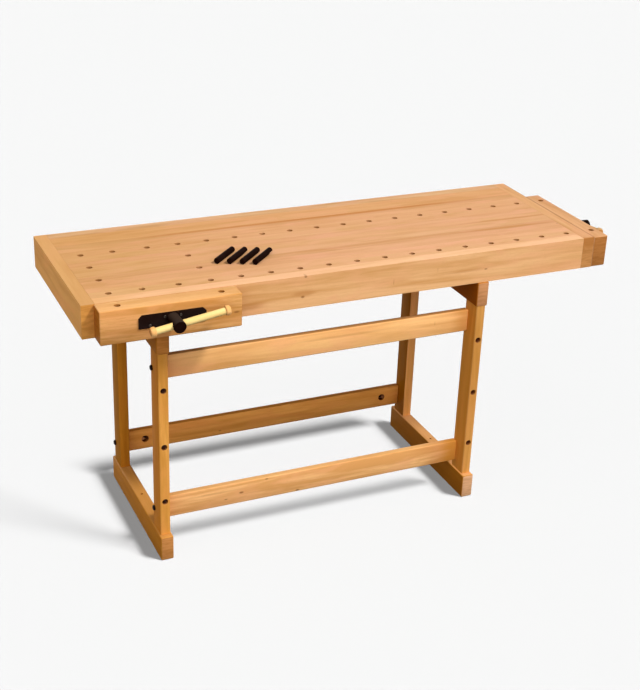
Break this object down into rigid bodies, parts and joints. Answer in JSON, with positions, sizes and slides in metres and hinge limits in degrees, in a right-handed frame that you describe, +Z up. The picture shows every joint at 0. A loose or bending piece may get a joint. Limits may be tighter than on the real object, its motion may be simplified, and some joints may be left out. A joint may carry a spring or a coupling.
{
  "type": "woodworking bench",
  "caption": "Beech woodworking bench with a wide front vise, an end vise, rows of round dog holes, loose bench dogs and a trestle base tied by bolted stretchers.",
  "frame": {"origin": "middle of the bench's outline, on the floor", "axes": "+X along the bench to the end vise, +Y from the front vise's side to the rear, +Z up"},
  "size_m": [1.853, 0.7186, 0.9193],
  "materials": {
    "beech": "satin lacquer",
    "oiled_beech": "satin lacquer",
    "birch": "satin lacquer",
    "black_steel": "satin",
    "bright_steel": "turned",
    "cast_iron": "as cast"
  },
  "bodies": {
    "bench": {"front_apron": "beech", "rear_apron": "beech", "left_end_cap": "beech", "right_end_cap": "beech", "front_dog_board": "beech", "middle_board": "beech", "rear_dog_board": "beech", "rear_board": "beech", "left_foot": "oiled_beech", "right_foot": "oiled_beech", "left_bearer": "oiled_beech", "right_bearer": "oiled_beech", "left_front_leg": "oiled_beech", "left_rear_leg": "oiled_beech", "right_front_leg": "oiled_beech", "right_rear_leg": "oiled_beech", "upper_front_stretcher": "oiled_beech", "lower_front_stretcher": "oiled_beech", "rear_stretcher": "oiled_beech", "left_top_dowel_1": "birch", "left_top_dowel_2": "birch", "right_top_dowel_1": "birch", "right_top_dowel_2": "birch", "upper_front_stretcher_bolt_left": "black_steel", "upper_front_stretcher_bolt_right": "black_steel", "lower_front_stretcher_bolt_left": "black_steel", "lower_front_stretcher_bolt_right": "black_steel", "rear_stretcher_bolt_left": "black_steel", "rear_stretcher_bolt_right": "black_steel", "upper_front_stretcher_nut_left": "bright_steel", "upper_front_stretcher_nut_right": "bright_steel", "lower_front_stretcher_nut_left": "bright_steel", "lower_front_stretcher_nut_right": "bright_steel", "rear_stretcher_nut_left": "bright_steel", "rear_stretcher_nut_right": "bright_steel", "front_vise_nut_plate": "cast_iron", "tail_vise_nut_plate": "cast_iron"},
    "front_jaw": {"front_vise_jaw": "beech", "front_vise_jaw_plate": "black_steel", "front_vise_guide_rod_1": "bright_steel", "front_vise_guide_rod_2": "bright_steel"},
    "front_screw": {"front_vise_screw": "bright_steel", "front_vise_hub": "black_steel"},
    "front_handle": {"front_vise_handle_bar": "birch", "front_vise_handle_knob_1": "birch", "front_vise_handle_knob_2": "birch"},
    "tail_jaw": {"tail_vise_jaw": "beech", "tail_vise_jaw_plate": "black_steel", "tail_vise_guide_rod_1": "bright_steel", "tail_vise_guide_rod_2": "bright_steel"},
    "tail_screw": {"tail_vise_screw": "bright_steel", "tail_vise_hub": "black_steel"},
    "tail_handle": {"tail_vise_handle_bar": "birch", "tail_vise_handle_knob_1": "birch", "tail_vise_handle_knob_2": "birch"},
    "dog_1": {"bench_dog_1": "black_steel"},
    "dog_2": {"bench_dog_2": "black_steel"},
    "dog_3": {"bench_dog_3": "black_steel"},
    "dog_4": {"bench_dog_4": "black_steel"}
  },
  "joints": [
    {"name": "front_jaw_slide", "type": "slide", "parent": "bench", "child": "front_jaw", "axis": [0, -1, 0], "range_m": [0, 0.15]},
    {"name": "front_screw_turn", "type": "hinge", "parent": "front_jaw", "child": "front_screw", "pos_m": [-0.67655, -0.3393, 0.853], "axis": [0, -1, 0], "range_deg": [0, 9000]},
    {"name": "front_handle_slide", "type": "slide", "parent": "front_screw", "child": "front_handle", "axis": [0.9877, 0, 0.1564], "range_m": [-0.123, 0.047]},
    {"name": "tail_jaw_slide", "type": "slide", "parent": "bench", "child": "tail_jaw", "axis": [1, 0, 0], "range_m": [0, 0.15]},
    {"name": "tail_screw_turn", "type": "hinge", "parent": "tail_jaw", "child": "tail_screw", "pos_m": [0.90655, -0.0097, 0.853], "axis": [1, 0, 0], "range_deg": [0, 9000]},
    {"name": "tail_handle_slide", "type": "slide", "parent": "tail_screw", "child": "tail_handle", "axis": [0, 0.9945, -0.1045], "range_m": [-0.101, 0.069]},
    {"name": "dog_1_lift", "type": "slide", "parent": "bench", "child": "dog_1", "axis": [0, 0, 1], "range_m": [0, 0.15]},
    {"name": "dog_2_lift", "type": "slide", "parent": "bench", "child": "dog_2", "axis": [0, 0, 1], "range_m": [0, 0.15]},
    {"name": "dog_3_lift", "type": "slide", "parent": "bench", "child": "dog_3", "axis": [0, 0, 1], "range_m": [0, 0.15]},
    {"name": "dog_4_lift", "type": "slide", "parent": "bench", "child": "dog_4", "axis": [0, 0, 1], "range_m": [0, 0.15]}
  ],
  "couplings": [
    {"joint": "front_jaw_slide", "follows": "front_screw_turn", "m_per_rad": 0.0009549},
    {"joint": "tail_jaw_slide", "follows": "tail_screw_turn", "m_per_rad": 0.0009549}
  ]
}
